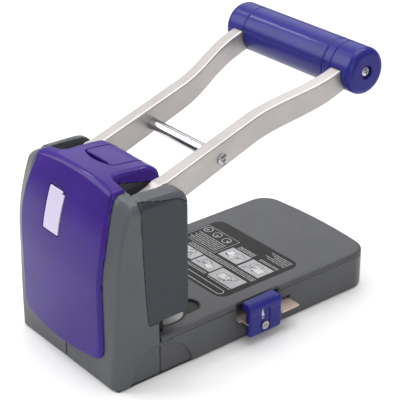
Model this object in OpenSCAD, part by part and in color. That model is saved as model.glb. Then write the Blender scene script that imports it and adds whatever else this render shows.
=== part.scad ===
// Heavy-duty two-hole lever punch, in millimetres.
// +Z up. -Y is the user's side, +Y is the back with the coloured cover, +X is the user's right.
// The origin is on the table, under the middle of the base's width.

/* [Base] */
// Width of the base and head
base_w = 128; // [127:0.5:129]
// Distance from the origin to the bowed user's end of the base
base_front = 129; // [127:0.5:132]
// Height of the base's paper table above the desk
base_h = 32.5; // [32.5:0.1:32.8]
// Wall of the moulded housings
wall = 3; // [2.6:0.1:3]

/* [Head] */
// Height of the tower tops beside the arms
head_h = 148; // [147:0.5:149]
// Y of the head's user-side face
head_front = 63; // [62.6:0.1:63]
// Y of the head's flat back
head_back = 131; // [130:0.5:132]
// Height of the ceiling over the paper throat
throat_top = 45; // [44.5:0.1:45]

/* [Handle] */
// Y of the handle's pivot
pivot_y = 103.5; // [103:0.1:104]
// Height of the handle's pivot
pivot_z = 122.5; // [122:0.1:123]
// Y of the grip's axis
grip_y = -101.2; // [-104:0.1:-98]
// Height of the grip's axis
grip_z = 194; // [190:0.5:196]
// Radius of the grip
grip_r = 18.5; // [17:0.5:19]
// Length of the grip over its end caps
grip_len = 144; // [142:1:148]
// Downward stroke of the handle, in degrees
stroke = 34; // [28:1:34]

/* [Punch] */
// Distance between the two holes
punch_pitch = 80; // [80]
// Diameter of the punched holes
punch_d = 6; // [5.5:0.5:6]
// Distance from the paper's edge to the holes' centres
hole_inset = 12; // [11.5:0.5:12]

/* [Hidden] */

$fn = 64;
half_w = base_w / 2;
pin_x = punch_pitch / 2;
pin_r = punch_d / 2;
pin_y = 71;
stop_y = pin_y + hole_inset;
shell_z = 1.2;             // underside of the housings, on the rubber mat
plate_t = 2;               // thickness of the bottom plate
fit = 0.05;                // radial clearance of a running fit
gap = 0.3;                 // clearance between pieces that move past each other

// Arms: slope of the top and bottom edges, and their height at y = 0
arm_top_z = 168.9;
arm_top_slope = -0.331;
arm_low_z = 147.9;
arm_low_slope = -0.359;
arm_in = 36;               // inner face inside the head
arm_t = 11.5;
arm_flare = 14.3;          // extra half spacing at the grip
flare_from = -12;
flare_to = -78;

// Press lobes: centre at radius press_r from the pivot, half the stroke above level
press_r = 34;
lobe_r = 13.5;
lobe_y = pivot_y - press_r * cos(stroke / 2);
lobe_z = pivot_z + press_r * sin(stroke / 2);
pin_top = lobe_z - lobe_r - gap;
pin_tip = 46;
yoke_z = 104;
yoke_t = 6;

rod_y = 19.5;
rod_z = 148.8;
rod_r = 4.8;

// ---- helpers ----

function unit(v) = v / norm(v);

// Points of a rounded corner at b, between a and c
function corner(a, b, c, r, n = 6) =
    let (u = unit(a - b), v = unit(c - b), half = acos(u * v) / 2)
    let (centre = b + unit(u + v) * r / sin(half), cut = r / tan(half))
    let (s = b + u * cut - centre, e = b + v * cut - centre)
    let (a0 = atan2(s.y, s.x), sweep = (atan2(e.y, e.x) - a0 + 540) % 360 - 180)
    r == 0 ? [b] : [for (i = [0:n]) centre + r * [cos(a0 + sweep * i / n), sin(a0 + sweep * i / n)]];

// A polygon's points with the given radius at each corner
function rounded(pts, r, n = 6) =
    let (m = len(pts))
    [for (i = [0:m - 1]) each corner(pts[(i + m - 1) % m], pts[i], pts[(i + 1) % m], r[i], n)];

function smooth(t) = let (c = max(0, min(1, t))) c * c * (3 - 2 * c);

// Extrudes a (y, z) outline along X
module along_x(x0, x1) {
    translate([x0, 0, 0]) rotate([90, 0, 90]) linear_extrude(x1 - x0) children();
}

// Extrudes an (x, z) outline along Y
module along_y(y0, y1) {
    translate([0, y1, 0]) rotate([90, 0, 0]) linear_extrude(y1 - y0) children();
}

module upright(z0, z1) {
    translate([0, 0, z0]) linear_extrude(z1 - z0) children();
}

// A block from its lowest to its highest corner
module block(lo, hi) {
    translate(lo) cube(hi - lo);
}

// A round bar along X
module bar(x0, x1, y, z, r) {
    translate([x0, y, z]) rotate([0, 90, 0]) cylinder(r = r, h = x1 - x0);
}

module post(x, y, z0, z1, r) {
    translate([x, y, z0]) cylinder(r = r, h = z1 - z0);
}

// ---- base ----

corner_r = 16;
end_bow = 5;               // how far the user's end bows out
end_r = (half_w * half_w + end_bow * end_bow) / (2 * end_bow);
base_join = 89.3;          // where the base meets the head's foot
tray_y = [52, 84];
tray_z = [4, 17.5];
rail_y = [-36, 17];
rail_z = [17, 18.5];
notch_y = [-27, 18];

function end_arc(inset, n = 4) =
    let (a = asin((half_w - inset) / end_r))
    [for (i = [0:n]) let (t = a - 2 * a * i / n)
        [end_r * sin(t), -base_front + inset + end_r - end_r * cos(t)]];

// Plan outline of the base, drawn in by inset
module base_plan(inset, y_end) {
    w = half_w - inset;
    arc = end_arc(inset);
    m = len(arc);
    pts = concat([[-w, y_end], [w, y_end]], arc);
    radii = [for (i = [0:m + 1]) i == 2 || i == m + 1 ? corner_r - inset : 0];
    polygon([for (p = [rounded([for (q = pts) [q.x, -q.y]], radii)]) each [for (q = p) [q.x, -q.y]]]);
}

// Positions of the screws that hold the base together
screw_at = [[-50, -104], [50, -104], [-50, 38], [50, 38], [-44, 123.5], [44, 123.5]];
screw_r = 1.5;
screw_head_r = 3.4;
boss_r = 4.8;

module rubber_mat() {
    color("dimgray") difference() {
        upright(0, shell_z) base_plan(1.5, head_back - 3);
        for (p = screw_at) post(p.x, p.y, -1, shell_z + 1, screw_head_r + gap);
    }
}

module base_plate() {
    color("slategray") difference() {
        upright(shell_z, shell_z + plate_t) base_plan(wall + 0.4, head_back - wall - 0.4);
        // Narrower between the head's thicker walls
        for (side = [-1, 1]) block([side * 61.1 - 4, base_join - 0.3, 0], [side * 61.1 + 4, head_back, 9]);
        for (p = screw_at) post(p.x, p.y, 0, 9, screw_r + gap);
    }
}

module base_shell() {
    top = base_h - wall;
    color("dimgray") difference() {
        union() {
            difference() {
                intersection() {
                    upright(shell_z, base_h) base_plan(0, base_join);
                    along_x(-half_w, half_w) polygon(rounded(
                        [[-base_front - 1, 0], [base_join + 1, 0], [base_join + 1, base_h],
                         [-base_front, base_h], [-base_front, 0]], [0, 0, 0, 3.2, 0]));
                    along_y(-base_front, base_join) polygon(rounded(
                        [[-half_w, 0], [half_w, 0], [half_w, base_h], [-half_w, base_h]],
                        [0, 0, 3.2, 3.2]));
                }
                upright(0, top) base_plan(wall, base_join + 1);
            }
            // Screw bosses under the top
            for (i = [0:3]) post(screw_at[i].x, screw_at[i].y, shell_z + plate_t, top + 1, boss_r);
        }
        for (i = [0:3]) post(screw_at[i].x, screw_at[i].y, 0, 14, screw_r);
        label_outline(0.2, base_h - 0.4, base_h + 1);
        spine_slots(base_h - wall - 1, base_h + 1);
        for (side = [-1, 1]) insert_outline(side, 0.1, top - 1, base_h + 1);
        // Rail slot, and the notch over it for the slider's flange
        block([-half_w - 1, rail_y[0] - 1, rail_z[0] - 0.6], [-half_w + wall + 1, rail_y[1] + 1, rail_z[1] + 0.6]);
        block([-half_w - 1, notch_y[0], rail_z[0] - 0.6], [-half_w + 5.5, notch_y[1], base_h + 1]);
        // Tray opening in the user's right side
        block([half_w - wall - 1, tray_y[0] - 4.3, 0], [half_w + 1, tray_y[1] + 3.3, tray_z[1] + 1.4]);
        side_arches();
    }
}

// Shallow arched finger reliefs across the joint between base and head
module side_arches() {
    for (side = [-1, 1]) {
        bar(side > 0 ? half_w - 1.2 : -half_w - 1, side > 0 ? half_w + 1 : -half_w + 1.2, base_join + 0.3, -2.4, 29);
    }
}

// Slots that the side plates of the inner frame pass through
module spine_slots(z0, z1) {
    for (x = [-51.5, 51.5]) block([x - 1.8, 85.7, z0], [x + 1.8, base_join + 1, z1]);
}

module label_outline(grow, z0, z1) {
    upright(z0, z1) translate([2, -21.6]) polygon(rounded(
        [[-48.4 - grow, -40 - grow], [48.4 + grow, -40 - grow], [48.4 + grow, 40 + grow],
         [-48.4 - grow, 40 + grow]], [8, 8, 8, 8]));
}

module instruction_label() {
    color("darkslategray") label_outline(0, base_h - 0.4, base_h);
}

// ---- dies ----

// U-shaped pocket round a punch pin, open towards the user
module insert_outline(side, grow, z0, z1) {
    upright(z0, z1) translate([side * pin_x, 0]) union() {
        translate([0, 47]) circle(10 + grow);
        translate([-10 - grow, 47]) square([20 + 2 * grow, 20]);
        disc_outline(14 + grow);
    }
}

module disc_outline(r) {
    translate([0, 67]) circle(r);
    translate([-r, 67]) square([2 * r, pin_y - 67]);
    translate([0, pin_y]) circle(r);
}

module die_plate() {
    top = base_h - wall;
    color("silver") difference() {
        block([-56, 53.5, top - 3.5], [56, 85.7, top]);
        for (side = [-1, 1]) post(side * pin_x, pin_y, 0, top + 1, pin_r + 1);
    }
}

module die_inserts() {
    top = base_h - wall;
    color("#202224") for (side = [-1, 1]) difference() {
        insert_outline(side, 0, top, base_h - 0.3);
        translate([0, 0, 1.4]) insert_outline(side, -1, top, base_h);
        post(side * pin_x, pin_y, 0, base_h, pin_r + 1);
    }
}

module die_discs() {
    color("gainsboro") for (side = [-1, 1]) difference() {
        upright(base_h - wall + 1.4, base_h + 0.4) translate([side * pin_x, 0]) disc_outline(12.9);
        post(side * pin_x, pin_y, 0, base_h + 1, pin_r + fit);
        // Cut off in front of the paper stop
        block([-half_w, stop_y - 0.2, base_h - 0.1], [half_w, stop_y + 3, base_h + 1]);
    }
}

// ---- inner frame ----

plate_x = [50, 53];

// Side plate of the C-frame: spine behind the throat, jaws above and below it
module frame_plate(side) {
    z_low = shell_z + plate_t;
    top = base_h - wall - 3.5;
    color("lightgray") difference() {
        along_x(side > 0 ? plate_x[0] : -plate_x[1], side > 0 ? plate_x[1] : -plate_x[0]) polygon(rounded(
            [[86, z_low], [116, z_low], [116, 118], [110, 134], [80, 134], [66.5, 124], [66.5, 47.5],
             [86, 47.5], [86, top], [54, top], [54, top - 6.5], [86, top - 6.5]],
            [0, 2, 8, 6, 6, 6, 1, 2, 2, 1, 1, 2]));
        bar(side * 51.5 - 4, side * 51.5 + 4, pivot_y, pivot_z, 5);
        for (p = bolt_at) bar(side * 51.5 - 4, side * 51.5 + 4, p.x, p.y, 2.1);
    }
}

// Frame bolts, as (y, z) into the guide block and the tie bar of the paper stop
bolt_at = [[76.5, 54], [96, 38]];

module frame_plate_left() frame_plate(-1);
module frame_plate_right() frame_plate(1);

module guide_block() {
    color("gray") difference() {
        block([-plate_x[0], 63.8, 47.5], [plate_x[0], 79.5, 61]);
        for (side = [-1, 1]) post(side * pin_x, pin_y, 0, 100, pin_r + fit);
        for (side = [-1, 1]) bar(side * 44 - 7, side * 44 + 7, bolt_at[0].x, bolt_at[0].y, 1.75);
    }
}

module frame_bolts() {
    color("silver") for (side = [-1, 1]) for (p = bolt_at) {
        bar(side > 0 ? 53 : -55.4, side > 0 ? 55.4 : -53, p.x, p.y, 4);
        bar(side > 0 ? 41 : -53, side > 0 ? 53 : -41, p.x, p.y, 1.75);
    }
}

// Back stop for the paper, with the tie bar that joins the side plates
module paper_stop() {
    color("darkgray") difference() {
        union() {
            block([-57, stop_y, base_h], [57, stop_y + 2.5, throat_top]);
            block([-49.9, stop_y + 2.5, base_h + 0.5], [49.9, 101, 43.5]);
        }
        for (side = [-1, 1]) bar(side * 44 - 7, side * 44 + 7, bolt_at[1].x, bolt_at[1].y, 1.75);
    }
}

// ---- handle axle ----

module pivot_axle() {
    color("silver") bar(-56, 56, pivot_y, pivot_z, 5);
}

module axle_clips() {
    color("dimgray") for (side = [-1, 1]) difference() {
        bar(side > 0 ? 53.2 : -54.4, side > 0 ? 54.4 : -53.2, pivot_y, pivot_z, 7.5);
        bar(side * 54 - 3, side * 54 + 3, pivot_y, pivot_z, 5);
    }
}

module axle_bushes() {
    color("goldenrod") for (side = [-1, 1]) difference() {
        bar(side > 0 ? arm_in - 2 : -49.7, side > 0 ? 49.7 : 2 - arm_in, pivot_y, pivot_z, 7);
        bar(side * 42 - 10, side * 42 + 10, pivot_y, pivot_z, 5 + fit);
    }
}

// ---- head housing ----

neck_in = 30;              // half width of the housing between the arm slots
slot_out = 52;             // outer wall of the arm slots
slot_low = 94;
slot_back = 105;

// Back profile of the head, flat below 80 mm and leaning forward above
function back_y(z, y0) = y0 - 0.0033 * pow(max(0, z - 80), 2);
function back_line(y0, z1, n = 6) = [for (i = [0:n]) let (z = 80 + (z1 - 80) * i / n) [back_y(z, y0), z]];

module head_profile() {
    crest = back_line(head_back, head_h - 3.5);
    front = rounded(
        [[base_join + 0.3, shell_z], [head_back, shell_z], crest[len(crest) - 1], [113.5, head_h + 1.9],
         [80, head_h + 0.3], [head_front, head_h - 2], [head_front, 52], [68, throat_top],
         [base_join + 0.3, throat_top]], [0, 0, 0, 3, 8, 14, 2, 2, 0]);
    polygon(concat([front[0], front[1]], crest, [for (i = [3:len(front) - 1]) front[i]]));
}

// The head's outer form, before it is hollowed
module head_solid() {
    intersection() {
        along_x(-half_w, half_w) head_profile();
        upright(0, 200) polygon(rounded(
            [[-half_w, head_front - 1], [half_w, head_front - 1], [half_w, head_back],
             [-half_w, head_back]], [0, 0, 8, 8]));
        along_y(0, 200) polygon(rounded(
            [[-half_w, 0], [half_w, 0], [half_w, head_h - 3.4], [slot_out, head_h + 2.6],
             [-slot_out, head_h + 2.6], [-half_w, head_h - 3.4]], [0, 0, 5, 3, 3, 5]));
    }
}

// Room inside the head
module head_cavity() {
    crest = back_line(head_back - wall, head_h - 6);
    along_x(-57.5, 57.5) polygon(concat(
        [[base_join - 1, -1], [head_back - wall, -1]], crest,
        [[110, head_h - wall], [80, head_h - wall], [head_front + 2, head_h - 16],
         [head_front + 2, throat_top + 2.3], [base_join - 1, throat_top + 2.3]]));
}

module panel_outline(grow) {
    polygon(rounded(
        [[head_front - 1 - grow, 52.5 - grow], [68.5, 46.2 - grow], [100.5 + grow, 46.2 - grow],
         [105.8 + grow, 142.6 + grow], [head_front - 1 - grow, 142.6 + grow]], [1, 3, 1.5, 1.5, 13]));
}

module head_shell(side) {
    color("#6b6e72") difference() {
        intersection() {
            head_solid();
            block([side > 0 ? 0.05 : -100, 0, 0], [side > 0 ? 100 : -0.05, 200, 200]);
        }
        difference() {
            head_cavity();
            // Boss for the rear base screw
            post(side * screw_at[5].x, screw_at[5].y, shell_z + plate_t, 16, boss_r);
            // Housing of the neck between the arms, open below
            difference() {
                block([-neck_in, head_front, 130], [neck_in, 120, 200]);
                block([wall - neck_in, head_front + 2.2, 129], [neck_in - wall, 121, head_h - wall]);
            }
        }
        // Room for the storage tub in the neck
        block([-21.1, 65.2, 132], [21.1, 98.1, 200]);
        // Slots for the arms
        block([side > 0 ? 31 : -slot_out, 0, slot_low], [side > 0 ? slot_out : -31, 78, 200]);
        block([side > 0 ? 31 : -slot_out, 0, 128], [side > 0 ? slot_out : -31, slot_back, 200]);
        // Opening for the guide block in the user-side face
        block([-50.2, 0, 47.2], [50.2, head_front + 2.5, 61.3]);
        // Punch pins through the throat's ceiling
        for (x = [-pin_x, pin_x]) post(x, pin_y, 0, 80, 5);
        // Seat of the side panel
        along_x(side > 0 ? half_w - 3 : -half_w - 1, side > 0 ? half_w + 1 : 3 - half_w) panel_outline(0.15);
        side_arches();
        spine_slots(throat_top - 1, throat_top + 4);
        post(side * screw_at[5].x, screw_at[5].y, 0, 14, screw_r);
    }
}

module head_shell_left() head_shell(-1);
module head_shell_right() head_shell(1);

module side_panel(side) {
    color("#474d54") intersection() {
        along_x(side > 0 ? half_w - 3 : -half_w, side > 0 ? half_w : 3 - half_w) panel_outline(0);
        upright(0, 200) polygon(rounded(
            [[-half_w, head_front], [half_w, head_front], [half_w, 120], [-half_w, 120]], [2, 2, 0, 0]));
    }
}

module side_panel_left() side_panel(-1);
module side_panel_right() side_panel(1);

// ---- coloured cover, lid and storage ----

cover_half = 51;
neck_half = 31.4;
cover_t = 3.2;
cover_low = 17;            // lower edge of the cover
cover_corner = 9;          // radius of its two lower corners

// Side profile of the cover, from its lower back edge over the ridge to the neck's end
module cover_profile(grow = 0) {
    crest = back_line(head_back + cover_t + grow, head_h - 2);
    front = rounded(
        [[head_back - 20, cover_low], [head_back + cover_t + grow, cover_low], crest[len(crest) - 1],
         [115.5, head_h + 7.5 + grow], [95, head_h + 8 + grow], [73, head_h + 5.5 + grow],
         [64, head_h + 1.5], [64, head_h - 5], [head_back - 20, head_h - 5]],
        [0, 2, 0, 6, 30, 12, 4, 0, 0], 5);
    polygon(concat([for (i = [0:6]) front[i]], crest, [for (i = [8:len(front) - 1]) front[i]]));
}

// Crowned outer form of the cover, over its whole width
module cover_form(grow = 0) {
    crown_r = 224;
    intersection() {
        along_x(-cover_half, cover_half) cover_profile(grow);
        along_y(0, 200) polygon(rounded(
            [[-cover_half, cover_low], [cover_half, cover_low], [cover_half, 200], [-cover_half, 200]],
            [cover_corner, cover_corner, 0, 0]));
        translate([0, 200, head_h + 8.6 + grow - crown_r]) rotate([90, 0, 0]) cylinder(r = crown_r, h = 200, $fn = 256);
        upright(0, 200) polygon(rounded(
            [[-neck_half, 63.2], [neck_half, 63.2], [neck_half, slot_back], [48, slot_back],
             [cover_half, 112], [cover_half, 140], [-cover_half, 140], [-cover_half, 112],
             [-48, slot_back], [-neck_half, slot_back]], [6, 6, 4, 2, 3, 0, 0, 3, 2, 4]));
    }
}

module lid_plan(grow, y_front) {
    upright(head_h - 4.6, 200) polygon(rounded(
        [[-17.6 - grow, y_front], [17.6 + grow, y_front], [17.2 + grow, 95 + grow], [-17.2 - grow, 95 + grow]],
        [1, 1, 4, 4]));
}

module back_cover() {
    color("#4b3a87") difference() {
        cover_form();
        head_solid();
        lid_plan(gap, 64.9);
        // Finger recess behind the lid
        translate([0, 89.5, head_h + 2.2]) cylinder(r = 9.5, h = 20);
        // Room for the lid's knuckles and the storage tub's rim
        block([-21.1, 65.2, 100], [21.1, 98.1, head_h + 0.2]);
    }
}

hinge_y = 69.5;
hinge_z = head_h + 0.6;

module storage_lid() {
    color("#4b3a87") difference() {
        intersection() {
            cover_form();
            lid_plan(0, 66);
            along_x(-20, 20) polygon([[60, hinge_z - 2.4], [hinge_y + 2.4, hinge_z - 2.4], [hinge_y + 4, head_h + 2.6],
                [100, head_h + 3], [100, head_h + 20], [60, head_h + 20]]);
        }
        bar(-20, 20, hinge_y, hinge_z, 1.2 + fit);
        // Gaps beside the tub's hinge ears
        for (side = [-1, 1]) block([side * 14.9 - 1.6, 60, head_h - 4], [side * 14.9 + 1.6, hinge_y + 3.4, hinge_z + 2.2]);
    }
}

module lid_hinge_pin() {
    color("silver") bar(-17, 17, hinge_y, hinge_z, 1.2);
}

// Open-topped tub for spare pins and discs, under the lid, with ears for the lid's pin
module storage_tub() {
    floor_z = 132;
    rim = head_h - 0.2;
    color("#595c60") {
        difference() {
            block([-20.9, 65.4, floor_z], [20.9, 97.9, rim]);
            block([-19.4, 73.5, floor_z + 1.6], [19.4, 96.4, rim + 1]);
            block([-17.9, 65, hinge_z - 4.6], [17.9, 74, rim + 1]);
        }
        for (side = [-1, 1]) difference() {
            union() {
                block([side * 14.9 - 1.2, hinge_y - 1.8, hinge_z - 4.6], [side * 14.9 + 1.2, hinge_y + 1.8, hinge_z]);
                bar(side * 14.9 - 1.2, side * 14.9 + 1.2, hinge_y, hinge_z, 1.8);
            }
            bar(side * 14.9 - 2, side * 14.9 + 2, hinge_y, hinge_z, 1.2);
        }
    }
}

// Plain plate on the back of the cover
module name_plate() {
    color("lavender") difference() {
        intersection() {
            cover_form(0.8);
            along_y(110, 150) polygon([[-0.8, 105], [18.2, 105], [18.2, 136.5], [3, 136.5], [3, 131], [-0.8, 131]]);
        }
        cover_form();
    }
}

// ---- handle ----

function flare(y) = arm_flare * smooth((flare_from - y) / (flare_from - flare_to));
function arm_edge(x0, n = 16) = [for (i = [0:n]) let (y = flare_from + (flare_to - flare_from) * i / n) [x0 + flare(y), y]];

tip_r = 8.1;               // outer radius of the arm's ring round the grip's core
core_r = 6.5;

function arm_top(y) = arm_top_z + arm_top_slope * y;
function arm_low(y) = arm_low_z + arm_low_slope * y;

// Side outline of an arm between two Y values, grown by the given clearance
module arm_side(y0, y1, grow = 0) {
    polygon([[y1, arm_low(y1) - grow], [y1, arm_top(y1) + grow], [y0, arm_top(y0) + grow], [y0, arm_low(y0) - grow]]);
}

module arm() {
    color("silver") difference() {
        intersection() {
            union() {
                along_x(0, 80) arm_side(grip_y, pivot_y - 4);
                bar(0, 80, grip_y, grip_z, tip_r);
                bar(0, 80, pivot_y, pivot_z, 11.6);
                bar(0, 80, lobe_y, lobe_z, lobe_r);
                bar(0, arm_in + arm_t, rod_y, rod_z, 7);
            }
            upright(0, 260) polygon(concat(
                [[arm_in + arm_t, 130], [arm_in, 130]], arm_edge(arm_in),
                [[arm_in + arm_flare, -115], [arm_in + arm_t + arm_flare, -115]],
                [for (i = [16:-1:0]) arm_edge(arm_in + arm_t)[i]]));
        }
        bar(0, 80, pivot_y, pivot_z, 7);
        bar(0, 80, grip_y, grip_z, core_r);
        bar(0, 80, rod_y, rod_z, 3);
    }
}

module arm_left() mirror([1, 0, 0]) arm();
module arm_right() arm();

module cross_rod() {
    color("gainsboro") difference() {
        union() {
            bar(-arm_in, arm_in, rod_y, rod_z, rod_r);
            bar(-arm_in - 9, arm_in + 9, rod_y, rod_z, 3);
        }
        for (side = [-1, 1]) bar(side * 40 - 6, side * 40 + 6, rod_y, rod_z, 1.6);
    }
}

// Button-headed screw with a cross recess, along +X from x
module button_screw(x, y, z, head_r, head_h, shank_r, shank_l) {
    difference() {
        union() {
            bar(x, x + head_h * 0.6, y, z, head_r);
            bar(x, x + head_h, y, z, head_r * 0.8);
            bar(x - shank_l, x, y, z, shank_r);
        }
        for (a = [45, 135]) translate([x + head_h * 0.55, y, z]) rotate([a, 0, 0])
            block([0, -head_r * 0.55, -head_r * 0.12], [head_h, head_r * 0.55, head_r * 0.12]);
    }
}

module cross_rod_screws() {
    color("lightgray") for (side = [0, 1]) mirror([side, 0, 0])
        button_screw(arm_in + arm_t, rod_y, rod_z, 4.5, 2.4, 1.6, 11);
}

seam_x = 49.8;             // where the sleeve meets the end caps
groove_x = -41.6;
split_a = 14.2;            // tilt of the split between the grip's halves

module grip_core() {
    color("lightgray") difference() {
        bar(-grip_len / 2 + 8, grip_len / 2 - 8, grip_y, grip_z, core_r);
        for (side = [-1, 1]) bar(side * 58 - 9, side * 58 + 9, grip_y, grip_z, 2);
    }
}

// Grip sleeve with its decorative groove, cut at the split for one half
module grip_half(up) {
    color("#3d3c93") difference() {
        bar(-seam_x, seam_x, grip_y, grip_z, grip_r);
        bar(-seam_x - 1, seam_x + 1, grip_y, grip_z, core_r);
        difference() {
            bar(groove_x - 0.4, groove_x + 0.4, grip_y, grip_z, grip_r + 1);
            bar(groove_x - 1, groove_x + 1, grip_y, grip_z, grip_r - 0.8);
        }
        translate([0, grip_y, grip_z]) rotate([split_a, 0, 0])
            block([-80, -40, up ? -40 : -0.1], [80, 40, up ? 0.1 : 40]);
    }
}

module grip_upper() grip_half(true);
module grip_lower() grip_half(false);

// End cap with a slot for the arm
module end_cap() {
    end_x = grip_len / 2;
    edge = 5;
    color("#3d3c93") difference() {
        translate([0, grip_y, grip_z]) rotate([90, 0, 90]) rotate_extrude() polygon(rounded(
            [[0, seam_x + 0.15], [grip_r, seam_x + 0.15], [grip_r, end_x], [0, end_x]], [0, 0.4, edge, 0], 8));
        bar(0, end_x - 8, grip_y, grip_z, core_r);
        bar(0, end_x + 1, grip_y, grip_z, 2.2);
        bar(end_x - 3.2, end_x + 1, grip_y, grip_z, 5.2);
        // Slot for the arm
        along_x(0, arm_in + arm_flare + arm_t + 0.1) arm_side(grip_y - tip_r - 0.3, -60, 0.3);
    }
}

module end_cap_left() mirror([1, 0, 0]) end_cap();
module end_cap_right() end_cap();

module cap_screws() {
    color("lightgray") for (side = [0, 1]) mirror([side, 0, 0])
        button_screw(grip_len / 2 - 3.2, grip_y, grip_z, 4, 2.6, 2, 16);
}

// ---- punch carriage ----

module pin_yoke() {
    color("gray") difference() {
        block([-47, 66, yoke_z], [47, 76, yoke_z + yoke_t]);
        for (side = [-1, 1]) post(side * pin_x, pin_y, 0, 200, pin_r);
    }
}

module punch_pin(side) {
    color("silver") difference() {
        union() {
            post(side * pin_x, pin_y, pin_tip, pin_top, pin_r);
            post(side * pin_x, pin_y, pin_top - 5, pin_top, 5.5);
        }
        // V-ground cutting end
        translate([side * pin_x, pin_y, pin_tip]) rotate([0, 0, 90]) along_y(-5, 5)
            polygon([[-2.2, -1], [2.2, -1], [0, 1.2]]);
    }
}

module punch_pin_left() punch_pin(-1);
module punch_pin_right() punch_pin(1);

module pin_clips() {
    color("dimgray") for (side = [-1, 1]) difference() {
        post(side * pin_x, pin_y, yoke_z - 1.2, yoke_z, 4.9);
        post(side * pin_x, pin_y, 0, 200, pin_r);
    }
}

// Coil spring swept as one solid, from z0 to z1
module coil(r, wire_r, z0, z1, turns, per_turn = 14, ring = 6) {
    n = turns * per_turn;
    lift = (z1 - z0 - 2 * wire_r) / n;
    pts = [for (i = [0:n]) for (k = [0:ring - 1])
        let (a = 360 * i / per_turn, b = 360 * k / ring, q = r + wire_r * cos(b))
        [q * cos(a), q * sin(a), z0 + wire_r + lift * i + wire_r * sin(b)]];
    sides = [for (i = [0:n - 1]) for (k = [0:ring - 1])
        let (m = (k + 1) % ring)
        [i * ring + k, i * ring + m, (i + 1) * ring + m, (i + 1) * ring + k]];
    ends = [[for (k = [ring - 1:-1:0]) k], [for (k = [0:ring - 1]) n * ring + k]];
    polyhedron(pts, concat(sides, ends));
}

module return_springs() {
    color("silver") for (side = [-1, 1]) translate([side * pin_x, pin_y, 0])
        coil(4.2, 0.55, 61.1, yoke_z - 1.3, 7);
}

// ---- chip tray ----

module chip_tray() {
    color("#303336") difference() {
        union() {
            block([-47, tray_y[0], tray_z[0]], [61.5, tray_y[1], tray_z[1]]);
            block([61.5, tray_y[0] - 4, tray_z[0] - 0.6], [half_w, tray_y[1] + 3, tray_z[1] + 1]);
        }
        block([-45.4, tray_y[0] + 1.6, tray_z[0] + 1.6], [60, tray_y[1] - 1.6, tray_z[1] + 2]);
        side_arches();
        // Finger scoop in the front
        translate([half_w + 4, (tray_y[0] + tray_y[1]) / 2, tray_z[0] - 2]) cylinder(r = 8, h = 8);
    }
}

// ---- side paper guide ----

module rail_channel() {
    color("darkgray") difference() {
        union() {
            block([-57, rail_y[0] - 2, rail_z[0] - 1.8], [57, rail_y[1] + 2, rail_z[1] + 2]);
            // Legs down to the bottom plate
            for (x = [-57, 54]) block([x, rail_y[0] - 2, shell_z + plate_t], [x + 3, rail_y[1] + 2, rail_z[0]]);
        }
        block([-58, rail_y[0] - 0.3, rail_z[0] - 0.3], [58, rail_y[1] + 0.3, rail_z[1] + 0.3]);
        block([-58, rail_y[0] + 6, rail_z[1]], [58, rail_y[1] - 6, rail_z[1] + 3]);
    }
}

module guide_rail() {
    tab = leg_in + 0.1;
    color("wheat") difference() {
        union() {
            block([rail_end, rail_y[0], rail_z[0]], [48, rail_y[1], rail_z[1]]);
            // Ear beside the slider
            block([-76, rail_y[0], rail_z[0]], [rail_end, slider_y[0] - gap, rail_z[1]]);
            // Tab bent down behind the slider's leg
            block([tab, -8, 8], [tab + 1.5, 8, rail_z[1]]);
        }
        block([-80, slider_y[1] - 0.2, rail_z[0] - 1], [-66, rail_y[1] + 1, rail_z[1] + 1]);
        bar(leg_in - 1, leg_in + 3, guide_screw_at.x, guide_screw_at.y, guide_screw_r);
        for (x = [-60, -40, -20, 0, 20, 40]) post(x, -16, 0, 40, 1.5);
    }
}

leg_in = -69.5;            // inner face of the slider's leg
rail_end = -74.2;          // outer end of the rail inside the slider
slider_y = [-18, 14.5];
slider_z = [6.5, 34.3];
slider_face = -76.5;       // outer face
flange_in = -64.5;         // inner edge of the slider's flange
recess_y = [-5.9, 4.2];    // upright recess in the outer face
recess_depth = 1.4;
guide_screw_at = [-1.2, 13.2];
guide_screw_r = 1.9;
guide_head_r = 3.5;

// Upstand at the rail's end: a leg with an arched front recess, and a flange towards the base
module guide_slider() {
    recess_r = (recess_y[1] - recess_y[0]) / 2;
    color("#3d3c93") difference() {
        along_y(slider_y[0], slider_y[1]) polygon(rounded(
            [[slider_face, slider_z[0]], [leg_in, slider_z[0]], [leg_in, 26.5], [flange_in, 27.5],
             [flange_in, slider_z[1]], [slider_face, slider_z[1]]], [2, 1, 2, 0.5, 2, 4]));
        // The rail passes through the leg
        block([rail_end - 0.1, rail_y[0], rail_z[0] - fit], [-60, rail_y[1], rail_z[1] + fit]);
        // Upright recess with a round top, and the screw's hole
        along_x(slider_face - 1, slider_face + recess_depth) union() {
            translate([recess_y[0] + recess_r, 24.5]) circle(recess_r);
            translate([recess_y[0], 8]) square([2 * recess_r, 16.5]);
        }
        bar(slider_face, leg_in + 1, guide_screw_at.x, guide_screw_at.y, guide_screw_r);
    }
}

module guide_screw() {
    seat = slider_face + recess_depth;
    color("#77787c") difference() {
        union() {
            bar(seat - 1.2, seat, guide_screw_at.x, guide_screw_at.y, guide_head_r);
            bar(seat, leg_in + 2.6, guide_screw_at.x, guide_screw_at.y, guide_screw_r);
        }
        block([seat - 2, guide_screw_at.x - 2.6, guide_screw_at.y - 0.3],
            [seat - 0.6, guide_screw_at.x + 2.6, guide_screw_at.y + 0.3]);
    }
}

// ---- screws under the base ----

module base_screws() {
    color("gray") for (i = [0:len(screw_at) - 1]) {
        p = screw_at[i];
        post(p.x, p.y, shell_z - 0.9, shell_z, screw_head_r);
        post(p.x, p.y, shell_z, 12, screw_r);
    }
}

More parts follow.
